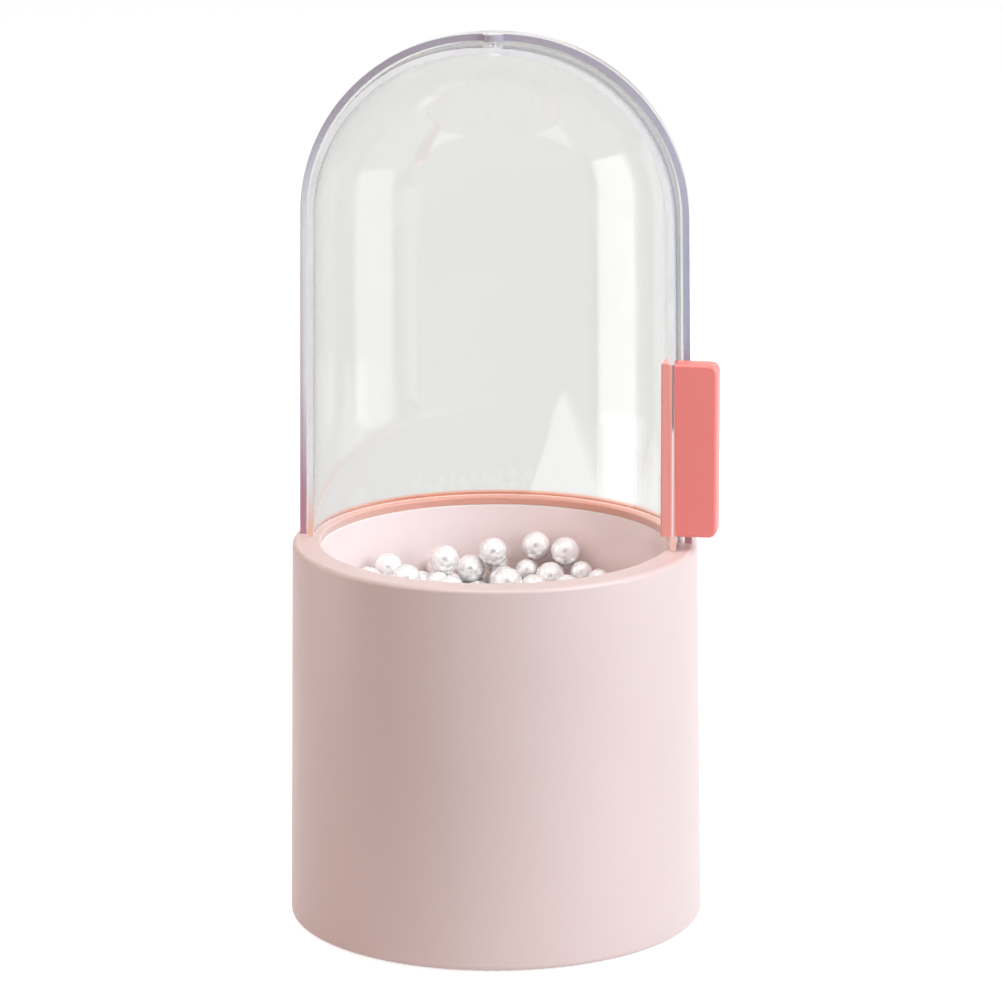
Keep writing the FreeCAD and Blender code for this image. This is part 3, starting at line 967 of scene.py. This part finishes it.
def mirror_card(name, corners, strength, share=1.0, faces=None):
    """A studio card that only shows in reflections, also in those seen through a clear wall.

    With a share below one it shows its front only and lets some of what is behind it through.
    """
    data = bpy.data.meshes.new(name)
    data.from_pydata(corners, [], faces or [tuple(range(len(corners)))])
    material, tree = new_material(name + "_paper")
    mirrored = math_node(
        tree, "GREATER_THAN", add(tree, "ShaderNodeLightPath").outputs["Glossy Depth"], 0.5)
    if share < 1.0:
        behind = add(tree, "ShaderNodeNewGeometry").outputs["Backfacing"]
        front = product(tree, math_node(tree, "SUBTRACT", 1.0, behind), share)
        mirrored = product(tree, mirrored, front)
    surface = add(tree, "ShaderNodeMixShader", {
        0: mirrored, 1: add(tree, "ShaderNodeBsdfTransparent").outputs[0],
        2: add(tree, "ShaderNodeEmission", {"Strength": strength}).outputs[0]})
    finish_material(tree, surface.outputs[0])
    material.cycles.emission_sampling = "NONE"
    data.materials.append(material)
    card = scene_object(name, data)
    for way in ("camera", "diffuse", "volume_scatter", "shadow"):
        setattr(card, "visible_" + way, False)


def upright_card(name, first, second, low, high, strength):
    """A mirror card that stands between two places on the floor."""
    corners = [(*first, low), (*second, low), (*second, high), (*first, high)]
    mirror_card(name, corners, strength)


def level_card(name, places, height, strength, share=1.0):
    """A mirror card that lies level at a height."""
    mirror_card(name, [(x, y, height) for x, y in places], strength, share)


def make_mouth_veil(sizes):
    """A painted reflection: a grey card just over the cup's mouth, seen only in reflections, keeps
    the heap's mirror image in the domes faint.
    """
    inner = sizes.rim_radius - door_inner_inset(sizes) - 0.2 * MM
    outer = sizes.rim_radius + 3 * MM
    back_end = math.asin(sizes.door_lap / inner)
    front_end = math.asin(sizes.door_lap / outer)
    steps = 24
    places = arc_points(inner, 0.0, 0.0, -back_end, math.pi + back_end, steps)
    places += arc_points(outer, 0.0, 0.0, math.pi + front_end, math.tau - front_end, steps)
    level_card("mouth_veil", places, sizes.rim_height + 0.15 * MM, 0.70, 0.75)


def wall_card(name, sizes, rows, strength):
    """A painted highlight: a glowing sheet just inside the domes that only reflections show, down
    to the rim.

    Each row gives its height over the rim in mm, and its first and last angle in degrees.
    """
    inner = sizes.rim_radius - door_inner_inset(sizes) - 0.6 * MM
    columns = 9
    corners = []
    for height, first, last in rows:
        radius = inner - height * MM * math.tan(sizes.draft)
        for column in range(columns):
            angle = math.radians(first + (last - first) * column / (columns - 1))
            corners.append((radius * math.cos(angle), radius * math.sin(angle),
                            sizes.rim_height + height * MM))
    faces = []
    for row in range(len(rows) - 1):
        for column in range(columns - 1):
            start = row * columns + column
            faces.append((start, start + 1, start + 1 + columns, start + columns))
    mirror_card(name, corners, strength, FRONT_ONLY, faces)


def make_streaks(sizes):
    """Painted highlights: lets the long streaks and the two pointed ones run down to the rim, as in
    the photo.
    """
    wall_card("right_streak", sizes, ((0.4, 46.6, 61.8), (25.0, 46.4, 61.8)), 2.3)
    wall_card("middle_point", sizes, (
        (0.4, 61.0, 85.6), (3.8, 61.7, 84.4), (8.5, 65.1, 82.7), (15.7, 68.4, 80.0),
        (24.2, 72.0, 77.6), (29.1, 74.7, 74.9)), 1.5)
    wall_card("far_point", sizes, (
        (0.4, 33.0, 45.0), (4.2, 33.0, 44.0), (12.1, 32.6, 41.0), (18.2, 32.8, 38.0),
        (25.0, 34.4, 34.6)), 1.25)
    wall_card("thin_streak", sizes, (
        (24.6, 119.3, 120.0), (29.0, 119.8, 124.6), (86.0, 120.3, 126.2)), 0.88)


def make_world(studio):
    world = bpy.data.worlds.new("pale_studio")
    bpy.context.scene.world = world
    world.use_nodes = True
    tree = world.node_tree
    tree.nodes.clear()
    path = add(tree, "ShaderNodeLightPath").outputs
    seen = math_node(tree, "MAXIMUM", path["Is Camera Ray"], path["Is Transmission Ray"])
    seen = math_node(tree, "MAXIMUM", seen, path["Is Glossy Ray"])
    way = add(tree, "ShaderNodeTexCoord").outputs["Generated"]
    side = add(tree, "ShaderNodeSeparateXYZ", {"Vector": way}).outputs["X"]
    colour = blend(tree, step_up(tree, side, -0.8, 0.6), studio.warm_side, studio.cool_side)
    light = add(tree, "ShaderNodeBackground", {"Color": colour, "Strength": studio.fill})
    shown = add(tree, "ShaderNodeBackground", {"Color": rgba(studio.backdrop), "Strength": 1.0})
    both = add(tree, "ShaderNodeMixShader", {0: seen, 1: light.outputs[0], 2: shown.outputs[0]})
    add(tree, "ShaderNodeOutputWorld", {"Surface": both.outputs[0]})


def make_camera(studio):
    data = bpy.data.cameras.new("photo_view")
    data.sensor_width = 36.0
    data.lens = studio.focal_pixels / PHOTO_WIDTH * data.sensor_width
    data.clip_start, data.clip_end = 0.05, 20.0
    camera = scene_object("photo_view", data)
    turn = studio.camera_azimuth
    reach = studio.camera_distance
    camera.location = (math.sin(turn) * reach, -math.cos(turn) * reach, studio.camera_height)
    yaw = turn - math.atan(studio.axis_offset / studio.focal_pixels)
    look = Euler((math.pi / 2 - studio.camera_pitch, 0.0, yaw)).to_matrix()
    roll = Matrix.Rotation(studio.camera_roll, 3, "Z")
    camera.rotation_euler = (look @ roll).to_euler()
    bpy.context.scene.camera = camera


class BRUSHBOX_OT_studio(bpy.types.Operator):
    """Make the white sweep, the lamps, the sky and the camera"""
    bl_idname = "brushbox.studio"
    bl_label = "Studio"

    def execute(self, context):
        studio = context.scene.studio
        data = bpy.data.meshes.new("sweep")
        corners = [(-1, -1, 0), (1, -1, 0), (1, 1, 0), (-1, 1, 0)]
        data.from_pydata([(x * SWEEP_HALF, y * SWEEP_HALF, z) for x, y, z in corners],
                         [], [(0, 1, 2, 3)])
        data.materials.append(floor_material(studio.paper, studio.backdrop))
        sweep = scene_object("sweep", data)
        middle = (0.0, 0.0, 0.12)
        soft_lamp("key_lamp", (0.737, -0.36, 0.55), middle, 0.6, 0.8, studio.key, studio.cool_side)
        soft_lamp("top_lamp", (-0.12, -0.15, 0.95), middle, 0.5, 0.5, studio.top, (1.0, 0.93, 0.89))
        soft_lamp("side_lamp", (-0.75, -0.45, 0.6), middle, 0.6, 0.6, studio.side,
                  studio.warm_side, False)
        soft_lamp("rear_lamp", (0.35, 0.85, 0.5), middle, 0.6, 0.6, studio.rear,
                  (1.0, 1.0, 1.0), False)
        upright_card("left_strip", (-0.335, -0.128), (-0.335, 0.085), 0.0, 0.4, 2.6)
        upright_card("right_strip", (0.41, -0.076), (0.41, 0.17), 0.012, 0.4, 1.8)
        upright_card("spark", (-0.222, -0.232), (-0.218, -0.227), 0.022, 0.028, 10.0)
        upright_card("dark_stand", (-0.25, -1.15), (0.50, -1.06), 0.2, 0.8, 0.02)
        level_card("grey_apron", ((-0.7, -1.25), (0.75, -1.25), (0.75, -0.13), (-0.7, -0.13)),
                   1 * MM, 0.70)
        make_mouth_veil(context.scene.dome_sizes)
        make_streaks(context.scene.dome_sizes)
        make_world(studio)
        make_camera(studio)
        context.scene.view_settings.view_transform = "Standard"
        return {"FINISHED"}


# Panel and registration

class BRUSHBOX_PT_panel(bpy.types.Panel):
    bl_idname = "BRUSHBOX_PT_panel"
    bl_label = "Brush box"
    bl_space_type = "VIEW_3D"
    bl_region_type = "UI"
    bl_category = "Brush box"

    def draw(self, context):
        for operator in OPERATORS:
            self.layout.operator(operator.bl_idname)
        for name, kind in GROUPS:
            group = getattr(context.scene, name)
            column = self.layout.column()
            for setting in kind.__annotations__:
                column.prop(group, setting)


GROUPS = (
    ("dome_sizes", DomeSizes),
    ("pearl_looks", PearlLooks),
    ("finishes", Finishes),
    ("edge_looks", EdgeLooks),
    ("studio", StudioSettings),
)
OPERATORS = (
    BRUSHBOX_OT_studio,
    BRUSHBOX_OT_base,
    BRUSHBOX_OT_domes,
    BRUSHBOX_OT_handle,
    BRUSHBOX_OT_pivot,
    BRUSHBOX_OT_pearls,
)


def register():
    for name, group in GROUPS:
        bpy.utils.register_class(group)
        setattr(bpy.types.Scene, name, PointerProperty(type=group))
    for operator in OPERATORS:
        bpy.utils.register_class(operator)
    bpy.utils.register_class(BRUSHBOX_PT_panel)


def unregister():
    bpy.utils.unregister_class(BRUSHBOX_PT_panel)
    for operator in reversed(OPERATORS):
        bpy.utils.unregister_class(operator)
    for name, group in reversed(GROUPS):
        delattr(bpy.types.Scene, name)
        bpy.utils.unregister_class(group)


def main():
    register()
    for operator in OPERATORS:
        group, name = operator.bl_idname.split(".")
        getattr(getattr(bpy.ops, group), name)()


if __name__ == "__main__":
    main()
